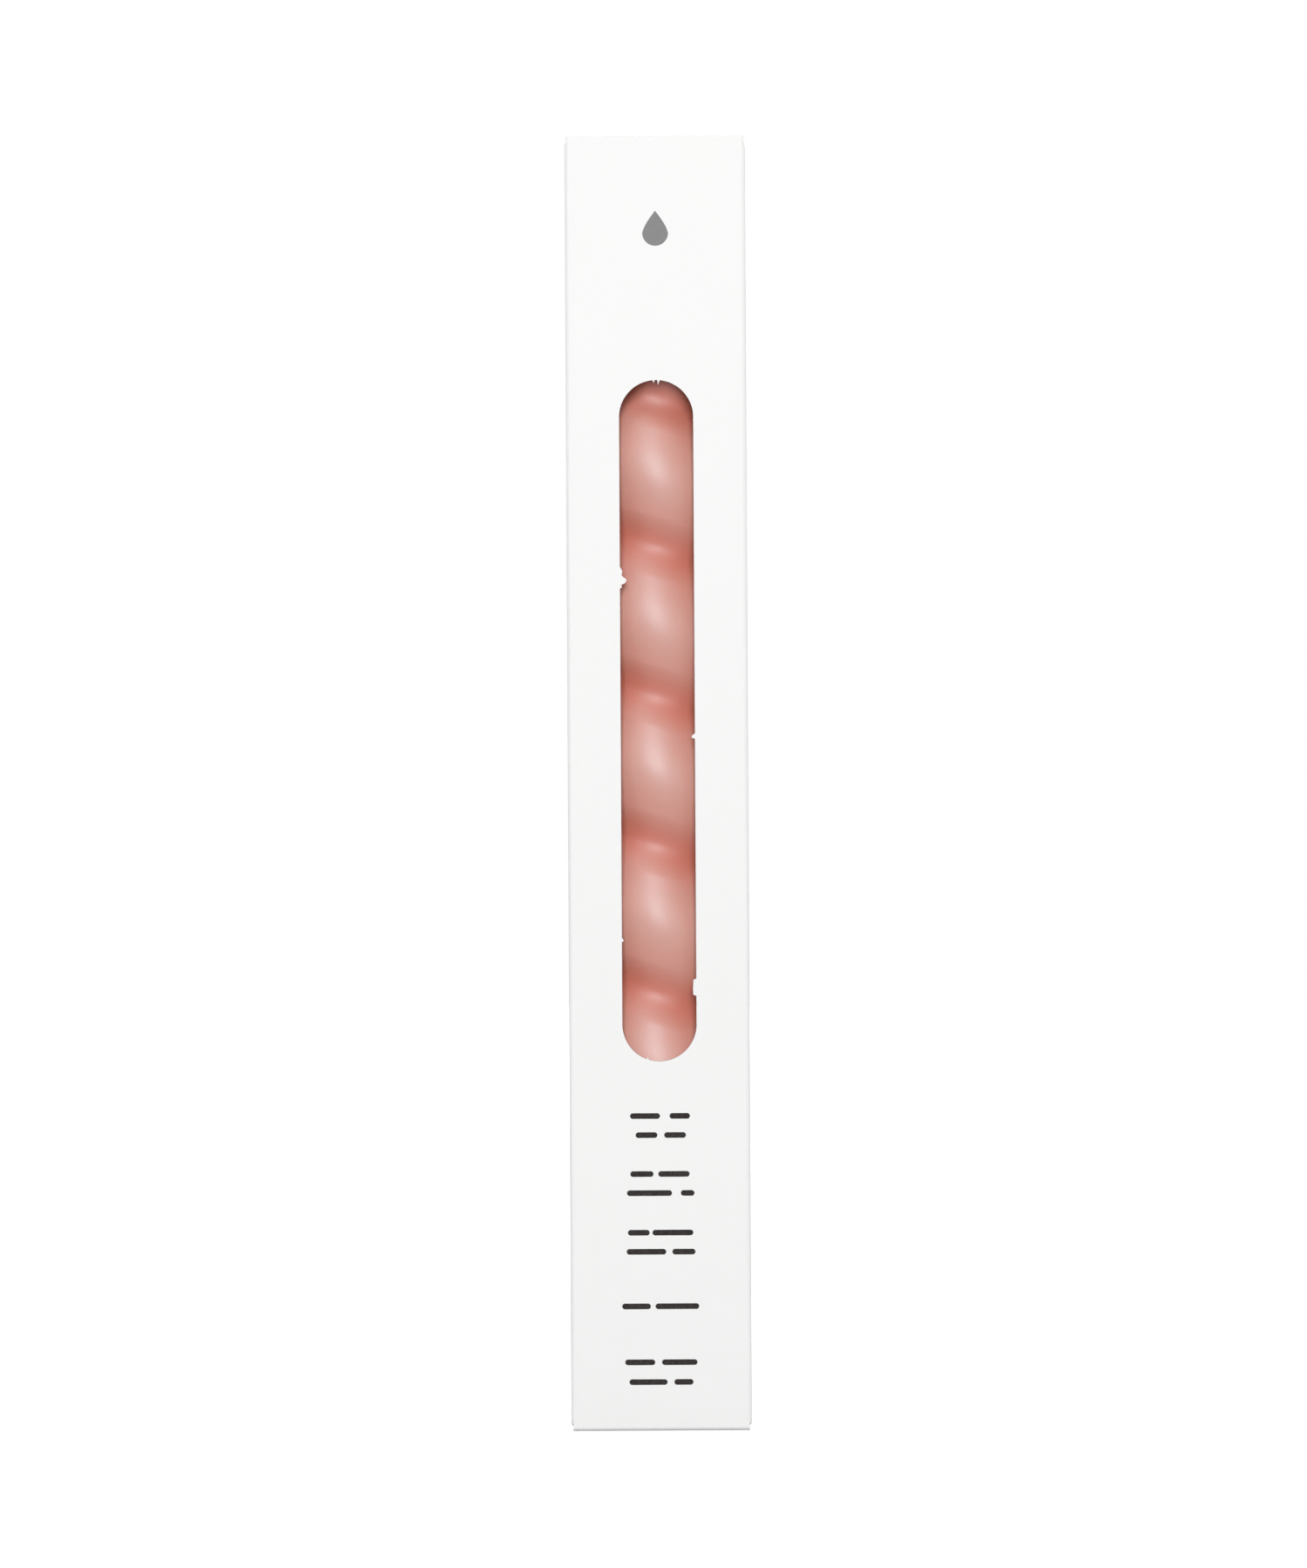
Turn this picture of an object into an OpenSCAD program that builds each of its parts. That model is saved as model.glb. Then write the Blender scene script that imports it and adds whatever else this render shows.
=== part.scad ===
// Spiral candle in a windowed folding carton with a tuck flap at each end.
// The carton stands on its base: the window faces -Y, the candle runs along +Z,
// and the origin is the middle of the base. Lengths are in millimetres, angles in degrees.

/* [Candle] */
// Largest diameter, across the spiral ridge
candle_d = 24; // [18:0.5:40]
// Length of the wax, from its foot to the tip
wax_len = 175; // [120:1:260]
// Height of one full turn of the spiral ridge
turn_height = 22; // [14:1:60]
// Depth of the groove between two turns of the ridge
groove_depth = 2.8; // [0.5:0.1:4]
// How softly the bottom of the groove is rounded, as a share of half a turn
groove_round = 0.25; // [0.1:0.05:0.6]
// Height above the foot at which the groove faces the window
groove_height = 62.8; // [40:0.2:100]
// Diameter of the plain round foot
foot_d = 20.5; // [14:0.5:22]
// Length of the plain round foot
foot_len = 14; // [10:0.5:30]
// Width of the bevel round the bottom of the foot
foot_bevel = 0.8; // [0.2:0.1:2]
// Length over which the foot swells into the ridge
swell_len = 12; // [4:0.5:25]
// Length of the tapered tip
tip_len = 20; // [10:0.5:40]
// Diameter of the flat round the wick at the tip
tip_d = 6; // [4:0.5:12]

/* [Wick] */
// Diameter of the wick
wick_d = 2; // [1:0.1:3]
// Length of wick that stands out of the wax
wick_out = 10; // [5:0.5:20]

/* [Carton] */
// Thickness of the folding board
board_t = 0.45; // [0.3:0.05:0.8]
// Free space beside the candle, on each side
side_gap = 0.8; // [0.6:0.1:4]
// Free space above the wick
head_gap = 3; // [1:0.5:10]
// Space between two layers of board that lie on each other
layer_gap = 0.05; // [0.02:0.01:0.2]
// Outside radius of the four upright creases
crease_r = 0.6; // [0.2:0.05:0.8]
// Width of the glue flap
glue_w = 8; // [5:0.5:12]
// Slope of the glue flap's two ends
glue_slope = 20; // [5:1:40]
// Distance from the glue flap's ends to the flaps of the carton
glue_end_gap = 3; // [1:0.5:15]

/* [Window] */
// Width of the window
window_w = 10.9; // [6:0.1:16]
// Height of the window, with its round ends
window_len = 100; // [40:1:120]
// Height of the window's lower end above the base
window_sill = 54.2; // [30:0.2:80]

/* [End flaps] */
// How much narrower a lid is than the carton, on each side
lid_inset = 0.3; // [0.1:0.05:0.6]
// Length over which a panel narrows to its lid's width
lid_taper = 1.3; // [0.5:0.1:3]
// Length of a tuck flap
tuck_len = 8.5; // [5:0.5:9]
// Space between a tuck flap and the panel it slides behind
tuck_gap = 0.1; // [0.05:0.05:0.5]
// Space beside a tuck flap, on each side
tuck_side_gap = 0.6; // [0.2:0.1:2]
// Radius of a tuck flap's two free corners
tuck_corner_r = 4; // [1:0.5:4.5]
// Angle by which a tuck flap leans in further than its swing needs
tuck_swing_margin = 0.6; // [0.2:0.1:2]
// Angle by which a tuck flap can still be pressed inwards
tuck_press = 2; // [0:0.5:4]
// Space between a pressed tuck flap and the candle's foot
foot_gap = 0.2; // [0.1:0.05:2]
// Distance between the tips of two facing dust flaps
dust_tip_gap = 3; // [1:0.5:8]
// Distance from a dust flap to the inside of the panel that the tuck flap slides behind
dust_tuck_gap = 1.2; // [1:0.1:3]
// Distance from a dust flap to the inside of the panel that carries the lid
dust_lid_gap = 1; // [0.5:0.1:3]
// Slope of a dust flap's edge on the lid's side
dust_lid_slope = 27; // [26:1:35]
// Slope of a dust flap's edge on the tuck flap's side
dust_tuck_slope = 8; // [2:1:20]
// Radius of a dust flap's two free corners
dust_corner_r = 2; // [0.5:0.5:3]

/* [Hidden] */

board_color = "white";
wax_color = [0.84, 0.58, 0.54];
wick_color = [0.93, 0.9, 0.84];

// Steps round the wax, and the height of one step along it
wax_sides = 40;
wax_step = 1.4;
// Points on the arc of a rounded flap corner
corner_steps = 8;
// Overlap of a cutting shape past the board that it cuts
cut_over = 1;
round_fn = 64;

// The carton's inside is as wide as the candle needs, or as its foot needs beside a pressed tuck flap
candle_room = candle_d + 2 * side_gap;
function lean_for(room) = asin(tuck_len / (2 * (room + board_t - tuck_gap))) + tuck_swing_margin;
function foot_room(room) =
    foot_d + 2 * (foot_gap + tuck_gap + board_t + tuck_len * sin(lean_for(room) + tuck_press));
inside_w = max(candle_room, foot_room(candle_room));
carton_w = inside_w + 2 * board_t;
carton_d = carton_w;

// A lid and the dust flaps under it
layer_step = board_t + layer_gap;
end_stack = 2 * layer_step;
candle_z = end_stack;
carton_h = 2 * end_stack + wax_len + wick_out + head_gap;

// The lid reaches from its crease to the tuck flap's crease, behind the panel on the other side
tuck_crease_y = -carton_d / 2 + board_t + tuck_gap;
tuck_lean = lean_for(inside_w);
tuck_w = inside_w - 2 * tuck_side_gap;
dust_len = (carton_w - dust_tip_gap) / 2;

// Points of an arc, from angle a0 to angle a1
function arc(center, r, a0, a1) =
    [for (i = [0:corner_steps]) center + r * [cos(a0 + (a1 - a0) * i / corner_steps), sin(a0 + (a1 - a0) * i / corner_steps)]];

function smooth(t) = let (s = min(1, max(0, t))) s * s * (3 - 2 * s);

// A prism whose outline lies in the YZ plane, across the carton
module across(points, width) {
    translate([-width / 2, 0, 0])
        rotate([90, 0, 90])
            linear_extrude(width) polygon(points);
}

// Round-cornered outside of the folded carton
module carton_outside() {
    flat_w = carton_w - 2 * crease_r;
    flat_d = carton_d - 2 * crease_r;
    linear_extrude(carton_h) {
        square([flat_w, carton_d], center = true);
        square([carton_w, flat_d], center = true);
        for (x = [-1, 1], y = [-1, 1])
            translate([x * flat_w / 2, y * flat_d / 2]) circle(r = crease_r, $fn = round_fn);
    }
}

// One upright panel that faces -Y, mitred at its two creases. A low or high crease mitres that end too.
module upright_panel(low, high, low_crease, high_crease) {
    face_y = -carton_d / 2;
    intersection() {
        carton_outside();
        linear_extrude(carton_h)
            polygon([
                [-carton_w / 2, face_y], [carton_w / 2, face_y],
                [carton_w / 2 - board_t, face_y + board_t], [-carton_w / 2 + board_t, face_y + board_t]
            ]);
        across([
            [face_y, low], [face_y + board_t, low + (low_crease ? board_t : 0)],
            [face_y + board_t, high - (high_crease ? board_t : 0)], [face_y, high]
        ], carton_w);
    }
}

// Outline that narrows a panel that faces -Y to its lid's width, at its low or its high end
module lid_end(top) {
    half = carton_w / 2;
    from = top ? carton_h : 0;
    taper = top ? -lid_taper : lid_taper;
    rotate([90, 0, 0])
        linear_extrude(carton_d)
            polygon([
                [lid_inset - half, from], [half - lid_inset, from], [half, from + taper],
                [half, carton_h - from], [-half, carton_h - from], [-half, from + taper]
            ]);
}

// Stadium-shaped window through the front panel
module window_cut() {
    r = window_w / 2;
    translate([0, -carton_d / 2 - cut_over, 0])
        rotate([-90, 0, 0])
            linear_extrude(board_t + 2 * cut_over) {
                for (z = [window_sill + r, window_sill + window_len - r])
                    translate([0, -z]) circle(r = r, $fn = round_fn);
                translate([-r, -(window_sill + window_len - r)]) square([window_w, window_len - window_w]);
            }
}

module front_panel() {
    color(board_color) difference() {
        intersection() {
            upright_panel(0, carton_h, true, false);
            lid_end(false);
        }
        window_cut();
    }
}

module back_panel() {
    color(board_color) rotate([0, 0, 180])
        intersection() {
            upright_panel(0, carton_h, false, true);
            lid_end(true);
        }
}

// A side panel creases into a dust flap at each end, one layer inside the lids
module side_panel(turn) {
    color(board_color) rotate([0, 0, turn])
        upright_panel(layer_step, carton_h - layer_step, true, true);
}

// Strip from the left panel that is glued to the inside of the back panel
module glue_flap() {
    low = tuck_len + glue_end_gap;
    high = carton_h - end_stack - glue_end_gap;
    rise = glue_w * tan(glue_slope);
    color(board_color)
        translate([-inside_w / 2, inside_w / 2, 0])
            rotate([90, 0, 0])
                linear_extrude(board_t)
                    polygon([[0, low], [glue_w, low + rise], [glue_w, high - rise], [0, high]]);
}

// The base's flaps are the top's, turned half round the carton's X axis
module at_end(top) {
    if (top) children();
    else translate([0, 0, carton_h]) rotate([180, 0, 0]) children();
}

// Lid on the back panel's crease, mitred there and at the tuck flap's crease
module lid(top) {
    hinge_y = carton_d / 2;
    color(board_color) at_end(top)
        across([
            [hinge_y, carton_h], [tuck_crease_y, carton_h],
            [tuck_crease_y + board_t, carton_h - board_t], [hinge_y - board_t, carton_h - board_t]
        ], carton_w - 2 * lid_inset);
}

// Tuck flap on the lid's free edge, leaning in so that it swings clear of the front panel
module tuck_flap(top) {
    r = tuck_corner_r;
    half = tuck_w / 2;
    mitre = 45 + tuck_lean + tuck_press + tuck_swing_margin;
    color(board_color) at_end(top)
        translate([0, tuck_crease_y, carton_h]) rotate([tuck_lean, 0, 0])
            intersection() {
                rotate([90, 0, 0]) translate([0, 0, -board_t])
                    linear_extrude(board_t)
                        polygon(concat(
                            [[half, 0], [-half, 0]],
                            arc([-half + r, -tuck_len + r], r, 180, 270),
                            arc([half - r, -tuck_len + r], r, 270, 360)
                        ));
                across([
                    [0, 0], [board_t, -board_t * tan(mitre)], [board_t, -tuck_len], [0, -tuck_len]
                ], tuck_w);
            }
}

// Dust flap on a side panel, under the lid, with its lid edge sloped so that it rises clear of the lid
module dust_flap(top, side) {
    r = dust_corner_r;
    tuck_y = -inside_w / 2 + dust_tuck_gap;
    lid_y = inside_w / 2 - dust_lid_gap;
    tip_tuck_y = tuck_y + dust_len * tan(dust_tuck_slope);
    tip_lid_y = lid_y - dust_len * tan(dust_lid_slope);
    // Where a corner's arc leaves the sloped edge, found from the corner's angle
    tuck_round = r * tan((90 - dust_tuck_slope) / 2);
    lid_round = r * tan((90 - dust_lid_slope) / 2);
    outer_z = carton_h - layer_step;
    color(board_color) at_end(top)
        mirror([side > 0 ? 0 : 1, 0, 0])
            intersection() {
                translate([0, 0, outer_z - board_t])
                    linear_extrude(board_t)
                        translate([carton_w / 2, 0])
                            polygon(concat(
                                [[0, lid_y], [0, tuck_y]],
                                [for (p = arc([r - dust_len, tip_tuck_y + tuck_round], r, 270 - dust_tuck_slope, 180)) p],
                                [for (p = arc([r - dust_len, tip_lid_y - lid_round], r, 180, 90 + dust_lid_slope)) p]
                            ));
                translate([0, carton_d / 2, 0]) rotate([90, 0, 0])
                    linear_extrude(carton_d)
                        polygon([
                            [carton_w / 2, outer_z], [carton_w / 2 - dust_len, outer_z],
                            [carton_w / 2 - dust_len, outer_z - board_t],
                            [carton_w / 2 - board_t, outer_z - board_t]
                        ]);
            }
}

// Radius of the candle's outside and depth of its groove, at a height above the foot
function tip_share(z) = cos(90 * max(0, z - (wax_len - tip_len)) / tip_len);
function swell_share(z) = smooth((z - foot_len) / swell_len);
function outside_r(z) =
    let (body = foot_d / 2 + (candle_d - foot_d) / 2 * swell_share(z))
    let (bevel = max(0, foot_bevel - z))
    tip_d / 2 + (body - tip_d / 2) * tip_share(z) - bevel;
function depth_at(z) = groove_depth * swell_share(z) * tip_share(z);

// The groove winds to the left as it rises, and faces -Y at groove_height
function groove_angle(z) = 270 - 360 * (z - groove_height) / turn_height;
// Share of half a turn between an angle and the groove, softened at the groove's bottom
function softened(share) = sqrt(share * share + groove_round * groove_round);
function groove_share(angle, z) =
    let (turned = angle - groove_angle(z), away = abs(turned - 360 * round(turned / 360)) / 180)
    (softened(1) - softened(away)) / (softened(1) - softened(0));
function wax_r(angle, z) = outside_r(z) - depth_at(z) * pow(groove_share(angle, z), 2);

function steps(from, to, step) =
    let (n = ceil((to - from) / step)) [for (i = [1:n]) from + (to - from) * i / n];
wax_heights = concat(
    [0, foot_bevel],
    steps(foot_bevel, foot_len, foot_len),
    steps(foot_len, wax_len - tip_len, wax_step),
    steps(wax_len - tip_len, wax_len, wax_step)
);

module candle_wax() {
    rings = len(wax_heights);
    points = [
        for (z = wax_heights, i = [0:wax_sides - 1])
            let (a = 360 * i / wax_sides) [wax_r(a, z) * cos(a), wax_r(a, z) * sin(a), z]
    ];
    walls = [
        for (k = [0:rings - 2], i = [0:wax_sides - 1])
            let (p = k * wax_sides + i, q = k * wax_sides + (i + 1) % wax_sides)
            each [[p, p + wax_sides, q], [q, p + wax_sides, q + wax_sides]]
    ];
    foot_face = [for (i = [0:wax_sides - 1]) i];
    tip_face = [for (i = [0:wax_sides - 1]) rings * wax_sides - 1 - i];
    color(wax_color) translate([0, 0, candle_z]) difference() {
        polyhedron(points, concat([foot_face], walls, [tip_face]));
        translate([0, 0, -cut_over]) cylinder(d = wick_d, h = wax_len + 2 * cut_over, $fn = round_fn);
    }
}

// Wick through the whole length of the wax, with a rounded end
module candle_wick() {
    r = wick_d / 2;
    color(wick_color) translate([0, 0, candle_z]) {
        cylinder(r = r, h = wax_len + wick_out - r, $fn = round_fn);
        translate([0, 0, wax_len + wick_out - r]) sphere(r = r, $fn = round_fn);
    }
}

front_panel();
back_panel();
side_panel(-90);  // left_panel
side_panel(90);  // right_panel
glue_flap();
lid(true);  // top_lid
tuck_flap(true);  // top_tuck_flap
dust_flap(true, -1);  // top_left_dust_flap
dust_flap(true, 1);  // top_right_dust_flap
lid(false);  // bottom_lid
tuck_flap(false);  // bottom_tuck_flap
dust_flap(false, -1);  // bottom_left_dust_flap
dust_flap(false, 1);  // bottom_right_dust_flap
candle_wax();
candle_wick();
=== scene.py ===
"""Spiral candle in its windowed folding carton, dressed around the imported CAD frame."""

import math

import bmesh
import bpy
from mathutils import Matrix, Vector


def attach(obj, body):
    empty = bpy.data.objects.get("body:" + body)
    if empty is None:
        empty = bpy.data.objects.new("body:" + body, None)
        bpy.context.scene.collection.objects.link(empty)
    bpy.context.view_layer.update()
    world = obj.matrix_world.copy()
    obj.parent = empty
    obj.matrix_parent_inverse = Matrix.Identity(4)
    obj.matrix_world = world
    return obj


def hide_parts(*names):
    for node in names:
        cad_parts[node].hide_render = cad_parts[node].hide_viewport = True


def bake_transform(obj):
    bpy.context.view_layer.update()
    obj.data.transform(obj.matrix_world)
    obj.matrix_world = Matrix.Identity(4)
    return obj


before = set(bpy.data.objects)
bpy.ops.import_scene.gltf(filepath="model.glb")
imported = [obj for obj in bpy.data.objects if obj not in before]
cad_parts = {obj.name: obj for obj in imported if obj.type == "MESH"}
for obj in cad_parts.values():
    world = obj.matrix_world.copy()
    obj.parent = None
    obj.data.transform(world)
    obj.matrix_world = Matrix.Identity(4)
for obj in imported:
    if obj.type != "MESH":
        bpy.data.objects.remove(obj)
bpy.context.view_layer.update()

MM = 0.001

# Carton, in millimetres, as in the part's source
HALF = 13.25
HIGH = 190.0
BOARD = 0.45
FOLD = 0.6
LAYER = 0.5
LID_WIDTH = 25.9
TUCK_CREASE = -12.7
TUCK_LEAN = 10.03
TUCK_WIDTH = 24.4
TUCK_LENGTH = 8.5
TUCK_CORNER = 4.0
DUST_LENGTH = 11.75
DUST_TUCK_SIDE = 11.6
DUST_LID_SIDE = 11.8
DUST_TUCK_SLOPE = 8.0
DUST_LID_SLOPE = 27.0
DUST_CORNER = 2.0
BACK_GAP = 0.15
GLUE_WIDTH = 8.0
GLUE_LOW = 11.5
GLUE_HIGH = 186.0
GLUE_SLOPE = 20.0
WINDOW_WIDTH = 10.9
WINDOW_LOW = 54.2
WINDOW_HIGH = 154.2

# Candle, in millimetres
CANDLE_Z = 1.0
WAX_LENGTH = 175.0
RIDGE_R = 12.0
GROOVE_DEPTH = 2.8
TURN_HEIGHT = 22.0
GROOVE_HEIGHT = 62.8
FOOT_R = 10.25
FOOT_LENGTH = 14.0
FOOT_BEVEL = 0.8
SWELL_LENGTH = 12.0
TIP_LENGTH = 20.0
TIP_R = 3.0
WICK_R = 1.0
WICK_OUT = 10.0

FLAT = HALF - FOLD
INSIDE = HALF - BOARD
# Length of panel that bends with a flap, past the start of its fold
LID_STRIP = FOLD + BOARD + 0.05
TUCK_TURN = 90.0 + TUCK_LEAN
TUCK_STRIP = 1.4


# Camera
PIXELS_PER_MM = 7.82
PHOTO_HEIGHT = 1799.0
SENSOR = 36.0
CAMERA_DISTANCE = 600.0
CAMERA_ELEVATION = -0.2
CAMERA_ROLL = -0.32
AIM = Vector((-0.68, -HALF, 94.9))


def add_camera():
    data = bpy.data.cameras.new("photo_camera")
    data.sensor_width = SENSOR
    data.lens = SENSOR * CAMERA_DISTANCE / (PHOTO_HEIGHT / PIXELS_PER_MM)
    data.clip_start = 0.01
    data.clip_end = 50.0
    camera = bpy.data.objects.new("photo_camera", data)
    bpy.context.scene.collection.objects.link(camera)
    tilt = math.radians(CAMERA_ELEVATION)
    back = Vector((0, -math.cos(tilt), math.sin(tilt)))
    camera.location = (AIM + back * CAMERA_DISTANCE) * MM
    turn = (-back).to_track_quat("-Z", "Y").to_matrix()
    roll = Matrix.Rotation(math.radians(CAMERA_ROLL), 3, "Z")
    camera.rotation_euler = (turn @ roll).to_euler()
    bpy.context.scene.camera = camera


add_camera()


# Shader wiring
class Wire:
    """A socket of a material. Arithmetic on it adds Math nodes."""

    def __init__(self, tree, socket=None):
        self.tree = tree
        self.socket = socket

    def node(self, kind, settings=None, sockets=None, out=0):
        """Adds a node, makes its settings, fills its sockets and returns one of its outputs."""
        made = self.tree.nodes.new("ShaderNode" + kind)
        for name, value in (settings or {}).items():
            setattr(made, name, value)
        for name, value in (sockets or {}).items():
            if isinstance(value, Wire):
                self.tree.links.new(value.socket, made.inputs[name])
            else:
                made.inputs[name].default_value = value
        return Wire(self.tree, made.outputs[out])

    def math(self, operation, *others):
        sockets = dict(enumerate((self,) + others))
        return self.node("Math", {"operation": operation}, sockets)

    def __add__(self, other):
        return self.math("ADD", other)

    def __radd__(self, other):
        return self.math("ADD", other)

    def __sub__(self, other):
        return self.math("SUBTRACT", other)

    def __rsub__(self, other):
        return self.node("Math", {"operation": "SUBTRACT"}, {0: other, 1: self})

    def __mul__(self, other):
        return self.math("MULTIPLY", other)

    def __rmul__(self, other):
        return self.math("MULTIPLY", other)

    def __truediv__(self, other):
        return self.math("DIVIDE", other)

    def clamp(self):
        return self.node("Clamp", None, {"Value": self})

    def noise(self, scale, detail=3.0, roughness=0.5):
        sockets = {"Vector": self, "Scale": scale, "Detail": detail, "Roughness": roughness}
        return self.node("TexNoise", None, sockets, "Fac")

    def stretch(self, x, y, z):
        sockets = {0: self, 1: (x, y, z)}
        return self.node("VectorMath", {"operation": "MULTIPLY"}, sockets)

    def mix(self, first, second):
        """Mixes two colours, with this value as the share of the second."""
        settings = {"data_type": "RGBA"}
        return self.node("Mix", settings, {0: self, 6: first, 7: second}, 2)

    def split(self):
        made = self.node("SeparateXYZ", None, {0: self})
        outputs = made.socket.node.outputs
        return [Wire(self.tree, outputs[i]) for i in range(3)]


def new_finish(name, constants):
    """A material with the given constants, its shader and the Object coordinates."""
    material = bpy.data.materials.new(name)
    material.use_nodes = True
    shader = material.node_tree.nodes["Principled BSDF"]
    for socket, value in constants.items():
        shader.inputs[socket].default_value = value
    place = Wire(material.node_tree).node("TexCoord", out="Object")
    return material, shader, place


def feed(shader, socket, wire):
    wire.tree.links.new(wire.socket, shader.inputs[socket])


def roughen(shader, height, strength, depth):
    """Feeds a height to the shader's Normal through a Bump node."""
    sockets = {"Height": height, "Strength": strength, "Distance": depth}
    feed(shader, "Normal", height.node("Bump", None, sockets))


# Print on the front of the carton, in millimetres. A row of ink has its height, and the middle and
# half length of each of its strokes
DROP_Z = 175.8
DROP_R = 1.9
DROP_POINT = 3.4
DROP_SOFT = 0.08
INK_ROWS = [
    (46.2, ((-2.2, 2.2), (2.9, 1.5))),
    (43.4, ((-2.0, 1.6), (2.2, 1.6))),
    (37.7, ((-2.7, 1.7), (2.0, 2.3))),
    (34.9, ((-1.6, 3.3), (4.0, 1.0))),
    (29.1, ((-3.2, 1.6), (1.8, 3.0))),
    (26.3, ((-2.1, 2.9), (3.4, 1.7))),
    (18.3, ((-3.6, 2.1), (2.4, 3.2))),
    (10.1, ((-3.1, 2.2), (2.7, 2.6))),
    (7.2, ((-1.9, 2.8), (3.3, 1.4))),
]
INK_HALF = 0.42  # half the height of a stroke
INK_SOFT = 0.06


def ink_mask(place):
    """Share of ink: rows of plain round-ended strokes under the window."""
    x, y, z = place.split()
    x = x * 1000.0
    z = z * 1000.0
    nearest = None
    for row_z, strokes in INK_ROWS:
        dz = z - row_z
        dz2 = dz * dz
        for middle, half in strokes:
            dx = ((x - middle).math("ABSOLUTE") - (half - INK_HALF)).math("MAXIMUM", 0.0)
            far = dx * dx + dz2
            nearest = far if nearest is None else nearest.math("MINIMUM", far)
    edge = (INK_HALF - nearest.math("SQRT")) / INK_SOFT + 0.5
    return edge.clamp()


def drop_mask(place):
    """Share of grey: a plain drop above the window."""
    x, y, z = place.split()
    x = x * 1000.0
    z = z * 1000.0 - DROP_Z
    # The drop is a circle below and narrows to its point above
    rise = (z / DROP_POINT).math("MAXIMUM", 0.0).math("MINIMUM", 1.0)
    half = (1.0 - rise * rise) * (1.0 - rise * 0.35) * DROP_R - rise * 0.1
    below = z.math("MINIMUM", 0.0)
    far = (x * x + below * below).math("SQRT")
    edge = (half - far) / DROP_SOFT + 0.5
    return edge.clamp()


def board_finish(name, printed):
    """White coated folding board, faintly mottled, with a fine fibre grain."""
    constants = {"Specular IOR Level": 0.35}
    material, shader, place = new_finish(name, constants)
    mottle = place.noise(140.0, 4.0, 0.6)
    fibre = place.noise(2600.0, 4.0, 0.65)
    white = mottle.mix((0.885, 0.885, 0.88, 1), (0.915, 0.915, 0.91, 1))
    rough = 0.44 + mottle * 0.12 + fibre * 0.06
    if printed:
        ink = ink_mask(place)
        grain = (0.95 + fibre * 0.08).clamp()
        white = (ink * grain).mix(white, (0.012, 0.008, 0.007, 1))
        # The ink lies on the coating and is matt
        rough = rough + ink * 0.3
        drop = drop_mask(place)
        white = (drop * grain).mix(white, (0.19, 0.185, 0.19, 1))
    feed(shader, "Base Color", white)
    feed(shader, "Roughness", rough)
    roughen(shader, fibre * 0.6 + mottle * 1.4, 0.25, 0.00003)
    return material


def inside_finish():
    """Uncoated inside of the board, warmer, with flecks of fibre."""
    material, shader, place = new_finish("board_inside", {"Specular IOR Level": 0.2})
    fibre = place.stretch(1.0, 1.0, 0.35).noise(1500.0, 5.0, 0.7)
    fleck = (place.noise(900.0, 2.0, 0.5) * 4.0 - 2.35).clamp()
    warm = fibre.mix((0.70, 0.67, 0.60, 1), (0.84, 0.82, 0.77, 1))
    feed(shader, "Base Color", (fleck * 0.35).mix(warm, (0.50, 0.44, 0.36, 1)))
    feed(shader, "Roughness", 0.78 + fibre * 0.15)
    roughen(shader, fibre, 0.5, 0.00005)
    return material


def edge_finish():
    """Die-cut edge of the board, with torn fibres."""
    material, shader, place = new_finish("board_edge", {"Specular IOR Level": 0.15})
    fibre = place.noise(3200.0, 5.0, 0.7)
    feed(shader, "Base Color", fibre.mix((0.72, 0.68, 0.61, 1), (0.93, 0.91, 0.88, 1)))
    feed(shader, "Roughness", 0.85 + fibre * 0.1)
    roughen(shader, fibre, 0.7, 0.0001)
    return material


# Radius, in millimetres, at which the wax's colour is darkest and reddest: painted shade in the
# groove
SHADED_GROOVE_R = 9.0


def wax_finish():
    """Dusty pink dyed wax: soft sheen and streaks along the twist. Its colour is painted paler on
    the ridges as a painted sheen, and darker and redder in the groove as painted shade.
    """
    constants = {
        "Diffuse Roughness": 0.5,
        "Subsurface Weight": 0.12,
        "Subsurface Radius": (1.0, 0.45, 0.35),
        "Subsurface Scale": 0.002,
        "Specular IOR Level": 0.85,
        "Specular Tint": (0.62, 0.92, 1.0, 1),
        "Coat Weight": 0.1,
        "Coat Roughness": 0.3,
    }
    material, shader, place = new_finish("pink_wax", constants)
    x, y, z = place.split()
    turn = z * (2 * math.pi / (TURN_HEIGHT * MM))
    settings = {"rotation_type": "Z_AXIS"}
    straight = place.node("VectorRotate", settings, {"Vector": place, "Angle": turn})
    streak = straight.stretch(1.0, 1.0, 0.06).noise(1700.0, 3.0, 0.6)
    cloud = place.noise(120.0, 4.0, 0.55)
    pit = place.noise(1100.0, 3.0, 0.6)
    radius = (x * x + y * y).math("SQRT") * 1000.0
    # Share of the pale crest colour by radius: 0 in the groove, where the dark red is painted
    # shade, and 1 on the crest, where the paleness is a painted sheen
    shade_to_sheen = ((radius - SHADED_GROOVE_R) / (RIDGE_R - SHADED_GROOVE_R)).math("SMOOTH_MIN", 1.0, 0.3).clamp()
    body = cloud.mix((0.59, 0.16, 0.105, 1), (0.64, 0.18, 0.12, 1))
    # Base colour: painted shade deepens the groove's red, a painted sheen pales the crest
    feed(shader, "Base Color", shade_to_sheen.mix(body, (0.68, 0.355, 0.295, 1)))
    feed(shader, "Roughness", 0.40 + cloud * 0.08 + pit * 0.06 + (1 - shade_to_sheen) * 0.05)
    roughen(shader, streak * 0.6 + pit * 0.5 + cloud * 2.0, 0.3, 0.00006)
    return material


def cotton_finish():
    """Cream cotton, with fine fibres along the strands."""
    material, shader, place = new_finish("wick_cotton", {"Specular IOR Level": 0.2})
    fibre = place.stretch(1.0, 1.0, 0.25).noise(5200.0, 4.0, 0.65)
    feed(shader, "Base Color", fibre.mix((0.66, 0.59, 0.46, 1), (0.90, 0.86, 0.76, 1)))
    feed(shader, "Roughness", 0.8 + fibre * 0.15)
    roughen(shader, fibre, 0.8, 0.00008)
    return material


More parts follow.
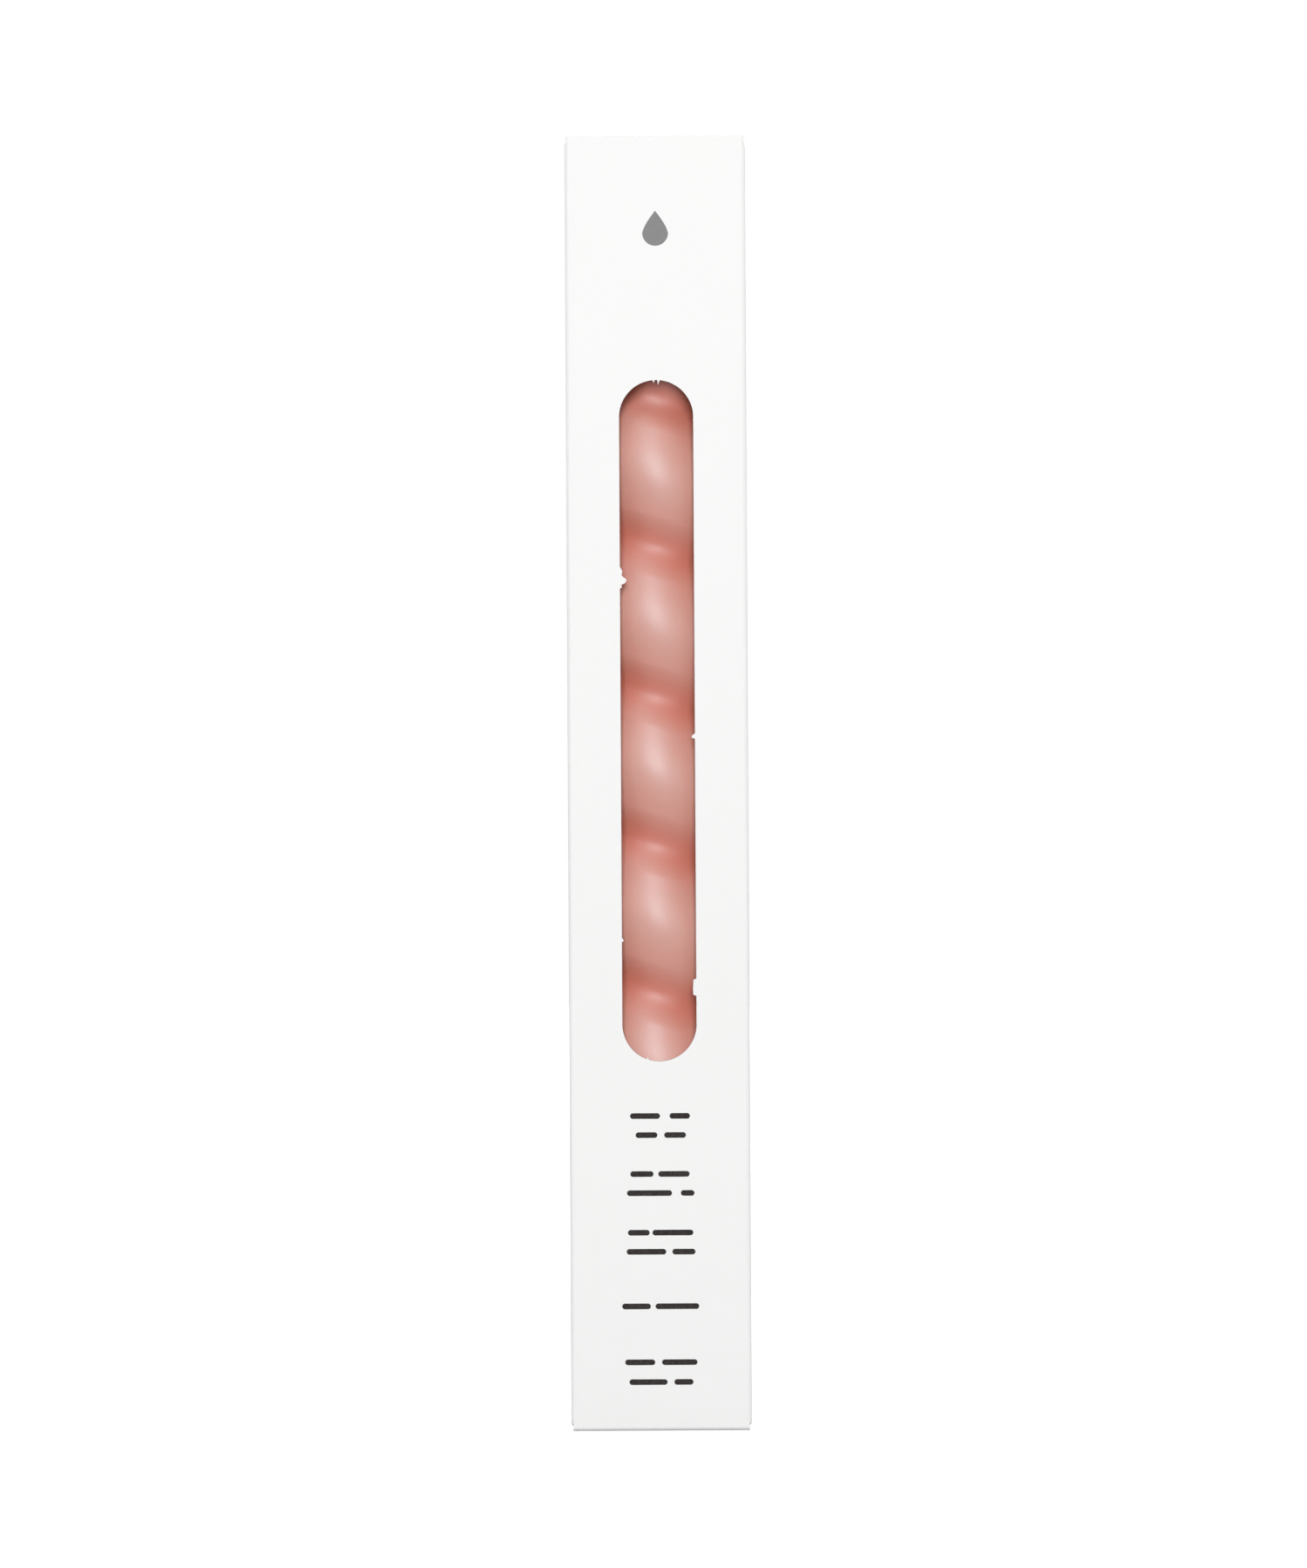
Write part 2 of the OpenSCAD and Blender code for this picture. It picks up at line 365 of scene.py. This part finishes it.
board_plain = board_finish("coated_board", False)
board_printed = board_finish("printed_board", True)
board_inside = inside_finish()
board_edge = edge_finish()
pink_wax = wax_finish()
wick_cotton = cotton_finish()


# Modelling by operators
def only(piece):
    """Leaves just this piece selected and active, in object mode."""
    if bpy.context.object and bpy.context.object.mode != "OBJECT":
        bpy.ops.object.mode_set(mode="OBJECT")
    bpy.ops.object.select_all(action="DESELECT")
    piece.select_set(True)
    bpy.context.view_layer.objects.active = piece


def clear_selection():
    if bpy.context.object and bpy.context.object.mode != "OBJECT":
        bpy.ops.object.mode_set(mode="OBJECT")
    bpy.ops.object.select_all(action="DESELECT")


def edit(piece):
    only(piece)
    bpy.ops.object.mode_set(mode="EDIT")


def choose(piece, kind, test):
    """In edit mode, selects the vertices, edges or faces whose points all pass the test, in mm."""
    bpy.ops.mesh.select_mode(type=kind)
    bpy.ops.mesh.select_all(action="DESELECT")
    mesh = bmesh.from_edit_mesh(piece.data)
    if kind == "VERT":
        for v in mesh.verts:
            if test(v.co / MM):
                v.select_set(True)
    else:
        for part in mesh.edges if kind == "EDGE" else mesh.faces:
            if all(test(v.co / MM) for v in part.verts):
                part.select_set(True)
    mesh.select_flush_mode()
    bmesh.update_edit_mesh(piece.data)


def near(a, b):
    return abs(a - b) < 1e-3


def settle(piece):
    """Puts a piece's place, turn and scale into its mesh."""
    only(piece)
    bpy.ops.object.transform_apply(location=True, rotation=True, scale=True)


def finish_with(piece, kind, **settings):
    """Adds a modifier and applies it."""
    only(piece)
    made = piece.modifiers.new(kind.lower(), kind)
    for name, value in settings.items():
        setattr(made, name, value)
    bpy.ops.object.modifier_apply(modifier=made.name)


def add_rectangle(name, left, right, low, high):
    """A flat sheet in the XZ plane that faces -Y, in millimetres."""
    clear_selection()
    middle = ((left + right) / 2 * MM, 0, (low + high) / 2 * MM)
    bpy.ops.mesh.primitive_plane_add(size=1, location=middle, rotation=(math.pi / 2, 0, 0))
    piece = bpy.context.object
    piece.name = piece.data.name = name
    piece.scale = ((right - left) * MM, (high - low) * MM, 1)
    settle(piece)
    return piece


def face_out(piece, outward):
    """Makes the sheet's faces agree, with its largest face towards outward."""
    edit(piece)
    bpy.ops.mesh.select_all(action="SELECT")
    bpy.ops.mesh.remove_doubles(threshold=1e-6)
    bpy.ops.mesh.normals_make_consistent(inside=False)
    bpy.ops.object.mode_set(mode="OBJECT")
    largest = max(piece.data.polygons, key=lambda p: p.area)
    if largest.normal.dot(Vector(outward)) < 0:
        edit(piece)
        bpy.ops.mesh.select_all(action="SELECT")
        bpy.ops.mesh.flip_normals()
        bpy.ops.object.mode_set(mode="OBJECT")


def thicken(piece, outside):
    """Gives a sheet the board's thickness on its inner side, with its three finishes."""
    for material in (outside, board_inside, board_edge):
        piece.data.materials.append(material)
    finish_with(
        piece,
        "SOLIDIFY",
        thickness=BOARD * MM,
        offset=-1,
        use_even_offset=True,
        material_offset=1,
        material_offset_rim=2,
    )


def place_board(piece, body, *nodes):
    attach(piece, body)
    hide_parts(*nodes)


FOLD_STEPS = 6


def upright_board(name, left, right, low, high, left_turn, right_turn):
    """One upright side of the carton that faces -Y, with the bends of its creases."""
    piece = add_rectangle(name, left, right, low, high)
    piece.location.y = -HALF * MM
    settle(piece)
    for edge, turn in ((left, left_turn), (right, right_turn)):
        if turn:
            edit(piece)
            choose(piece, "EDGE", lambda p, e=edge: near(p.x, e))
            side = 1 if edge > 0 else -1
            bpy.ops.mesh.spin(
                steps=FOLD_STEPS * turn // 45,
                angle=-side * math.radians(turn),
                center=(edge * MM, (FOLD - HALF) * MM, 0),
                axis=(0, 0, 1),
            )
    face_out(piece, (0, -1, 0))
    return piece


def turn_piece(piece, degrees):
    piece.rotation_euler.z = math.radians(degrees)
    settle(piece)


# Carton sides
front_board = upright_board("front_board", -FLAT, FLAT, LID_STRIP, HIGH, 45, 45)
# The back's free edge stops just short of the left side's outer face
back_board = upright_board("back_board", -FLAT, HALF - BACK_GAP, 0, HIGH - LID_STRIP, 45, 0)
side_low = LAYER + LID_STRIP
side_high = HIGH - LAYER - LID_STRIP
right_board = upright_board("right_board", -FLAT, FLAT, side_low, side_high, 45, 45)
left_board = upright_board("left_board", FOLD - INSIDE, FLAT, side_low, side_high, 90, 45)

thicken(front_board, board_printed)
for board in (back_board, right_board, left_board):
    thicken(board, board_plain)
turn_piece(back_board, 180)
turn_piece(right_board, 90)
turn_piece(left_board, -90)


# Window, die-cut with a few torn nicks left at its edge: side of each, and the heights and
# depths of its outline
WINDOW_SIDES = 96
LONG_TEAR = ((123.6, 0.0), (123.8, 0.3), (124.15, 0.2), (124.4, 0.75), (124.9, 1.0), (125.2, 0.6))
NICKS = [
    (-1, LONG_TEAR + ((125.5, 0.25), (126.2, 0.35), (126.8, 0.0))),
    (1, ((101.5, 0.0), (101.65, 0.45), (101.95, 0.5), (102.3, 0.0))),
    (1, ((63.8, 0.0), (63.95, 0.45), (64.9, 0.5), (66.15, 0.42), (66.3, 0.0))),
    (-1, ((71.7, 0.0), (71.95, 0.28), (72.4, 0.0))),
]
# Ends of the window with torn fibres: height of each, and the places and depths of the tears
RAGGED_ENDS = [
    (WINDOW_HIGH, ((-1.6, 0.5), (-0.9, 0.8), (-0.3, 0.45), (0.3, 0.7), (0.8, 0.3))),
    (WINDOW_LOW, ((-2.9, 0.35), (-2.3, 0.65), (-1.7, 0.4), (-1.2, 0.55))),
]


def cut_window(board):
    clear_selection()
    radius = WINDOW_WIDTH / 2
    middle = (WINDOW_LOW + WINDOW_HIGH) / 2
    straight = (WINDOW_HIGH - WINDOW_LOW) / 2 - radius
    bpy.ops.mesh.primitive_cylinder_add(
        vertices=WINDOW_SIDES,
        radius=radius * MM,
        depth=4 * MM,
        location=(0, -HALF * MM, middle * MM),
        rotation=(math.pi / 2, math.pi / WINDOW_SIDES, 0),
    )
    cutter = bpy.context.object
    settle(cutter)
    cutter.data.materials.append(board_edge)
    edit(cutter)
    for way in (1, -1):
        choose(cutter, "VERT", lambda p, w=way: w * (p.z - middle) > 0)
        bpy.ops.transform.translate(value=(0, 0, way * straight * MM))
    for side, outline in NICKS:
        for z, deep in outline:
            bpy.ops.mesh.select_all(action="SELECT")
            bpy.ops.mesh.bisect(plane_co=(0, 0, z * MM), plane_no=(0, 0, 1))
        for z, deep in outline:
            choose(cutter, "VERT", lambda p, z=z, s=side: near(p.z, z) and s * p.x > 0)
            bpy.ops.transform.translate(value=(-side * deep * MM, 0, 0))
    for end, tears in RAGGED_ENDS:
        inward = -1 if end > middle else 1
        for x, deep in tears:
            bpy.ops.mesh.select_all(action="SELECT")
            bpy.ops.mesh.bisect(plane_co=(x * MM, 0, 0), plane_no=(1, 0, 0))
        for x, deep in tears:
            choose(cutter, "VERT", lambda p, x=x, i=inward: near(p.x, x) and i * (p.z - middle) < 0)
            bpy.ops.transform.translate(value=(0, 0, inward * deep * MM))
    finish_with(
        board,
        "BOOLEAN",
        operation="DIFFERENCE",
        object=cutter,
        solver="EXACT",
        material_mode="TRANSFER",
    )
    bpy.data.objects.remove(cutter)


cut_window(front_board)
place_board(front_board, "carton", "front_panel")
place_board(back_board, "carton", "back_panel")
place_board(left_board, "carton", "left_panel")
place_board(right_board, "carton", "right_panel")


def make_glue_flap():
    """Strip that goes on from the left side and is glued inside the back."""
    far = GLUE_WIDTH - INSIDE
    piece = add_rectangle("glue_flap_board", FOLD - HALF, far, GLUE_LOW, GLUE_HIGH)
    piece.location.y = INSIDE * MM
    settle(piece)
    rise = GLUE_WIDTH * math.tan(math.radians(GLUE_SLOPE))
    edit(piece)
    for end, way in ((GLUE_LOW, 1), (GLUE_HIGH, -1)):
        choose(piece, "VERT", lambda p, e=end: near(p.x, far) and near(p.z, e))
        bpy.ops.transform.translate(value=(0, 0, way * rise * MM))
    face_out(piece, (0, 1, 0))
    thicken(piece, board_plain)
    place_board(piece, "carton", "glue_flap")


make_glue_flap()


# End flaps
def folded_flap(name, strip_half, strip, turn, left, right, length):
    """A strip of the parent panel, the fold at its end and the flap beyond it.

    The parent panel stands below the crease and faces +Y, the crease's outer corner is the
    origin and the flap turns towards -Y. Left and right are the flap's sides, in millimetres.
    """
    tangent = FOLD * math.tan(math.radians(turn / 2))
    piece = add_rectangle(name, -strip_half, strip_half, -strip, -tangent)
    edit(piece)
    for x in (left, right):
        if abs(x) < strip_half - 0.01:
            bpy.ops.mesh.select_all(action="SELECT")
            bpy.ops.mesh.bisect(plane_co=(x * MM, 0, 0), plane_no=(1, 0, 0))
    choose(piece, "EDGE", lambda p: near(p.z, -tangent) and left - 0.01 < p.x < right + 0.01)
    bpy.ops.mesh.spin(
        steps=FOLD_STEPS * 2,
        angle=-math.radians(turn),
        center=(0, -FOLD * MM, -tangent * MM),
        axis=(1, 0, 0),
    )
    ahead = Vector((0, -math.sin(math.radians(turn)), math.cos(math.radians(turn))))
    bpy.ops.mesh.extrude_region_move(
        TRANSFORM_OT_translate={"value": ahead * (length - tangent) * MM}
    )
    return piece, ahead


def tip_test(ahead, length):
    return lambda p: near(p.dot(ahead), length)


def hang_flap(piece, child, turn, matrix):
    """Thickens a flap and puts it in place.

    The flap's CAD node has the name of its body, the child.
    """
    face_out(piece, (0, 0, 1))
    thicken(piece, board_plain)
    only(piece)
    piece.matrix_world = matrix
    settle(piece)
    # The two ends of the fold's inner arc
    turned = Matrix.Rotation(math.radians(turn), 3, "X")
    tangent = FOLD * math.tan(math.radians(turn / 2))
    start = Vector((0, -BOARD, -tangent))
    end = turned @ Vector((0, -BOARD, tangent))
    start = tuple(matrix @ (start * MM))
    end = tuple(matrix @ (end * MM))
    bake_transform(piece)
    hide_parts(child)


def end_matrix(end):
    """The base's flaps are the top's, turned half round the carton's X axis."""
    if end == "top":
        return Matrix.Identity(4)
    return Matrix.Translation((0, 0, HIGH * MM)) @ Matrix.Rotation(math.pi, 4, "X")


def make_lid(end):
    length = HALF - TUCK_CREASE - TUCK_STRIP
    half = LID_WIDTH / 2
    piece, ahead = folded_flap(end + "_lid_board", half, LID_STRIP, 90.0, -half, half, length)
    matrix = end_matrix(end) @ Matrix.Translation((0, HALF * MM, HIGH * MM))
    hang_flap(piece, end + "_lid", 90.0, matrix)


def make_tuck_flap(end):
    half = TUCK_WIDTH / 2
    piece, ahead = folded_flap(
        end + "_tuck_board", LID_WIDTH / 2, TUCK_STRIP, TUCK_TURN, -half, half, TUCK_LENGTH
    )
    choose(piece, "VERT", tip_test(ahead, TUCK_LENGTH))
    bpy.ops.mesh.bevel(affect="VERTICES", offset=TUCK_CORNER * MM, segments=8)
    matrix = end_matrix(end) @ Matrix.Translation((0, TUCK_CREASE * MM, HIGH * MM))
    matrix = matrix @ Matrix.Rotation(math.pi / 2, 4, "X")
    hang_flap(piece, end + "_tuck_flap", TUCK_TURN, matrix)


def make_dust_flap(end, side):
    """Side is 1 at the right and -1 at the left, where the flap is the mirror image."""
    tuck_side, lid_side = side * DUST_TUCK_SIDE, -side * DUST_LID_SIDE
    name = end + ("_right" if side > 0 else "_left") + "_dust"
    left, right = sorted((tuck_side, lid_side))
    piece, ahead = folded_flap(name + "_board", FLAT, LID_STRIP, 90.0, left, right, DUST_LENGTH)
    tip = tip_test(ahead, DUST_LENGTH)
    for edge, slope in ((tuck_side, DUST_TUCK_SLOPE), (lid_side, DUST_LID_SLOPE)):
        inward = -math.copysign(DUST_LENGTH * math.tan(math.radians(slope)), edge)
        choose(piece, "VERT", lambda p, e=edge: tip(p) and near(p.x, e))
        bpy.ops.transform.translate(value=(inward * MM, 0, 0))
    choose(piece, "VERT", tip)
    bpy.ops.mesh.bevel(affect="VERTICES", offset=DUST_CORNER * MM, segments=6)
    matrix = end_matrix(end) @ Matrix.Translation((side * HALF * MM, 0, (HIGH - LAYER) * MM))
    matrix = matrix @ Matrix.Rotation(-side * math.pi / 2, 4, "Z")
    hang_flap(piece, name + "_flap", 90.0, matrix)


for end in ("top", "bottom"):
    make_lid(end)
    make_tuck_flap(end)
    for side in (-1, 1):
        make_dust_flap(end, side)


# Candle
def smooth(t):
    t = min(1.0, max(0.0, t))
    return t * t * (3 - 2 * t)


def twist_up(piece, length, turns, steps):
    """Sweeps an outline up its axis while it turns."""
    only(piece)
    made = piece.modifiers.new("twist", "SCREW")
    made.axis = "Z"
    made.angle = 2 * math.pi * turns
    made.screw_offset = length * MM
    made.steps = made.render_steps = steps
    bpy.ops.object.modifier_apply(modifier=made.name)


def reshape_ring(piece, z, roundness, radius):
    """Rounds one ring of a twisted body and brings its widest point to a radius."""
    choose(piece, "VERT", lambda p: abs(p.z - z) < 0.01)
    middle = (0, 0, z * MM)
    if roundness > 0.001:
        bpy.ops.transform.tosphere(value=roundness, center_override=middle)
    mesh = bmesh.from_edit_mesh(piece.data)
    widest = max(v.co.to_2d().length for v in mesh.verts if v.select) / MM
    share = radius / widest
    bpy.ops.transform.resize(value=(share, share, 1), center_override=middle)


def close_end(piece, z, inner_r, dip):
    """Draws an end in to the wick and closes it in a small dimple."""
    choose(piece, "VERT", lambda p: abs(p.z - z) < 0.01)
    mesh = bmesh.from_edit_mesh(piece.data)
    radius = max(v.co.to_2d().length for v in mesh.verts if v.select) / MM
    way = 1 if z < WAX_LENGTH / 2 else -1
    # Radius of each ring on the way in, and its share of the dip
    for target, drop in ((radius * 0.6, 0.25), (inner_r * 1.3, 0.25), (inner_r, 0.5)):
        bpy.ops.mesh.extrude_region_move(
            TRANSFORM_OT_translate={"value": (0, 0, way * dip * drop * MM)}
        )
        z += way * dip * drop
        share = target / radius
        bpy.ops.transform.resize(value=(share, share, 1), center_override=(0, 0, z * MM))
        radius = target
    bpy.ops.mesh.edge_face_add()


WAX_STEPS = 400
WAX_SIDES = 112
# Dimples round the wick at both ends
WICK_GAP = 0.12
FOOT_DIP = 0.5
TIP_DIP = 1.2
# The groove is pressed in twice: share of half a turn that follows, and share of the depth
GROOVE_PRESSES = ((1.0, 0.6), (0.38, 0.4))


def grooved_outline(name):
    """Outline of the wax: a circle with one soft groove, at +X, as a loop of edges."""
    clear_selection()
    bpy.ops.mesh.primitive_circle_add(vertices=WAX_SIDES, radius=RIDGE_R * MM)
    piece = bpy.context.object
    piece.name = piece.data.name = name
    piece.rotation_euler.z = math.pi / 2
    settle(piece)
    edit(piece)
    for reach, share in GROOVE_PRESSES:
        choose(piece, "VERT", lambda p: p.x > 0 and near(p.y, 0))
        inward = 1 - GROOVE_DEPTH * share / RIDGE_R
        bpy.ops.transform.resize(
            value=(inward, inward, 1),
            center_override=(0, 0, 0),
            use_proportional_edit=True,
            use_proportional_connected=True,
            proportional_edit_falloff="SMOOTH",
            proportional_size=reach * math.pi * RIDGE_R * MM,
        )
    return piece


def make_wax():
    piece = grooved_outline("twisted_wax")
    # The groove winds to the left from the foot, and faces the window at its height
    only(piece)
    piece.rotation_euler.z = math.radians(270 + 360 * GROOVE_HEIGHT / TURN_HEIGHT)
    settle(piece)
    twist_up(piece, WAX_LENGTH, -WAX_LENGTH / TURN_HEIGHT, WAX_STEPS)
    edit(piece)
    for k in range(WAX_STEPS + 1):
        z = WAX_LENGTH * k / WAX_STEPS
        tip = max(0.0, z - (WAX_LENGTH - TIP_LENGTH)) / TIP_LENGTH
        swell = smooth((z - FOOT_LENGTH) / SWELL_LENGTH)
        taper = math.cos(math.pi / 2 * tip)
        if swell < 1 or tip > 0:
            body = FOOT_R + (RIDGE_R - FOOT_R) * swell
            radius = TIP_R + (body - TIP_R) * taper
            roundness = 1 - swell * taper * RIDGE_R / radius
            reshape_ring(piece, z, roundness, radius - max(0.0, FOOT_BEVEL - z))
    close_end(piece, 0.0, WICK_R + WICK_GAP, FOOT_DIP)
    close_end(piece, WAX_LENGTH, WICK_R + WICK_GAP, TIP_DIP)
    bpy.ops.mesh.select_all(action="SELECT")
    bpy.ops.mesh.remove_doubles(threshold=1e-6)
    bpy.ops.mesh.normals_make_consistent(inside=False)
    bpy.ops.object.mode_set(mode="OBJECT")
    piece.location.z = CANDLE_Z * MM
    settle(piece)
    bpy.ops.object.shade_smooth_by_angle(angle=math.radians(35))
    piece.data.materials.append(pink_wax)
    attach(piece, "candle")
    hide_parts("candle_wax")


make_wax()

WICK_PITCH = 5.0
WICK_STEPS_PER_TURN = 12
STRANDS = 3
STRAND_R = WICK_R * 0.54
STRAND_SIDES = 16
STRAND_SOFT = 0.25  # how near the groove between two strands the outline is smoothed


def strand_outline(name):
    """Outline of the wick's strands side by side, as a loop of edges smoothed between them."""
    clear_selection()
    offset = WICK_R - STRAND_R
    strands = []
    for i in range(STRANDS):
        turn = 2 * math.pi * i / STRANDS
        bpy.ops.mesh.primitive_cylinder_add(
            vertices=STRAND_SIDES,
            radius=STRAND_R * MM,
            depth=2 * MM,
            location=(-offset * math.sin(turn) * MM, offset * math.cos(turn) * MM, 0),
            rotation=(0, 0, turn),
        )
        strands.append(bpy.context.object)
        settle(bpy.context.object)
    piece = strands[0]
    piece.name = piece.data.name = name
    for other in strands[1:]:
        finish_with(piece, "BOOLEAN", operation="UNION", object=other, solver="EXACT")
        bpy.data.objects.remove(other)
    edit(piece)
    bpy.ops.mesh.select_all(action="SELECT")
    bpy.ops.mesh.dissolve_limited(angle_limit=math.radians(0.2))
    bpy.ops.mesh.select_all(action="SELECT")
    bpy.ops.mesh.delete(type="ONLY_FACE")
    choose(piece, "VERT", lambda p: p.z > 0)
    bpy.ops.mesh.delete(type="VERT")
    # A groove's point is nearest the axis
    mesh = bmesh.from_edit_mesh(piece.data)
    points = sorted((v.co / MM for v in mesh.verts), key=lambda p: p.to_2d().length)
    grooves = points[:STRANDS]
    choose(piece, "VERT", lambda p: min((p - g).length for g in grooves) < STRAND_SOFT)
    bpy.ops.mesh.vertices_smooth(factor=0.5, repeat=1)
    bpy.ops.mesh.select_all(action="SELECT")
    bpy.ops.transform.translate(value=(0, 0, MM))
    return piece


def make_wick():
    """Strands twisted together, through the whole wax."""
    piece = strand_outline("twisted_wick")
    length = WAX_LENGTH + WICK_OUT
    turns = length / WICK_PITCH
    twist_up(piece, length, turns, round(turns * WICK_STEPS_PER_TURN))
    edit(piece)
    for z in (0.0, length):
        choose(piece, "VERT", lambda p, z=z: abs(p.z - z) < 0.01)
        # Two smaller rings and a face close the end
        for share in (0.8, 0.6):
            bpy.ops.mesh.extrude_region()
            bpy.ops.transform.resize(value=(share, share, 1), center_override=(0, 0, z * MM))
        bpy.ops.mesh.edge_face_add()
    bpy.ops.mesh.select_all(action="SELECT")
    bpy.ops.mesh.normals_make_consistent(inside=False)
    bpy.ops.object.mode_set(mode="OBJECT")
    piece.location.z = CANDLE_Z * MM
    settle(piece)
    bpy.ops.object.shade_smooth_by_angle(angle=math.radians(50))
    piece.data.materials.append(wick_cotton)
    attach(piece, "candle")
    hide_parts("candle_wick")


make_wick()


# Stage
FLOOR_SIZE = 2.4
FLOOR_GLOW = 0.95
WORLD_LIGHT = 0.06


def seen_share(wire):
    """1 for rays that see the background, straight, in gloss or through glass."""
    path = wire.node("LightPath")
    outputs = path.socket.node.outputs
    names = ("Is Camera Ray", "Is Glossy Ray", "Is Transmission Ray")
    rays = [Wire(wire.tree, outputs[name]) for name in names]
    return rays[0].math("MAXIMUM", rays[1]).math("MAXIMUM", rays[2])


def make_floor():
    clear_selection()
    bpy.ops.mesh.primitive_plane_add(size=FLOOR_SIZE, location=(0, 0, 0))
    floor = bpy.context.object
    floor.name = floor.data.name = "studio_floor"
    material = bpy.data.materials.new("floor_white")
    material.use_nodes = True
    shader = material.node_tree.nodes["Principled BSDF"]
    shader.inputs["Base Color"].default_value = (0.2, 0.2, 0.2, 1)
    shader.inputs["Roughness"].default_value = 0.9
    shader.inputs["Specular IOR Level"].default_value = 0.0
    shader.inputs["Emission Strength"].default_value = 1.0
    seen = seen_share(Wire(material.node_tree))
    feed(shader, "Emission Color", seen.mix((0, 0, 0, 1), (FLOOR_GLOW, FLOOR_GLOW, FLOOR_GLOW, 1)))
    floor.data.materials.append(material)


make_floor()


def make_world():
    world = bpy.data.worlds.new("studio_world")
    bpy.context.scene.world = world
    world.use_nodes = True
    background = world.node_tree.nodes["Background"]
    background.inputs["Color"].default_value = (1, 1, 1, 1)
    seen = seen_share(Wire(world.node_tree))
    feed(background, "Strength", WORLD_LIGHT + seen * (1 - WORLD_LIGHT))


make_world()


# Softboxes: place and size in metres, and power in watts. The fills stand behind the front's plane
LAMP_AIM = Vector((0, 0, 0.1))
SOFTBOXES = [
    ("front_softbox", (0.0, -1.6, 0.46), (0.56, 0.9), 22.4),
    ("top_softbox", (-0.1, -1.4, 2.7), (1.2, 1.2), 13.0),
    ("left_fill", (-1.5, 0.5, 0.95), (0.8, 1.2), 13.0),
    ("right_fill", (1.5, 0.5, 0.95), (0.8, 1.2), 15.0),
    ("back_fill", (0.0, 1.6, 0.95), (0.8, 1.2), 16.0),
]


def add_softbox(name, place, size, power):
    data = bpy.data.lights.new(name, "AREA")
    data.shape = "RECTANGLE"
    data.size, data.size_y = size
    data.energy = power
    lamp = bpy.data.objects.new(name, data)
    bpy.context.scene.collection.objects.link(lamp)
    lamp.location = place
    lamp.rotation_euler = (LAMP_AIM - Vector(place)).to_track_quat("-Z", "Y").to_euler()


for softbox in SOFTBOXES:
    add_softbox(*softbox)

bpy.context.scene.view_settings.view_transform = "Standard"
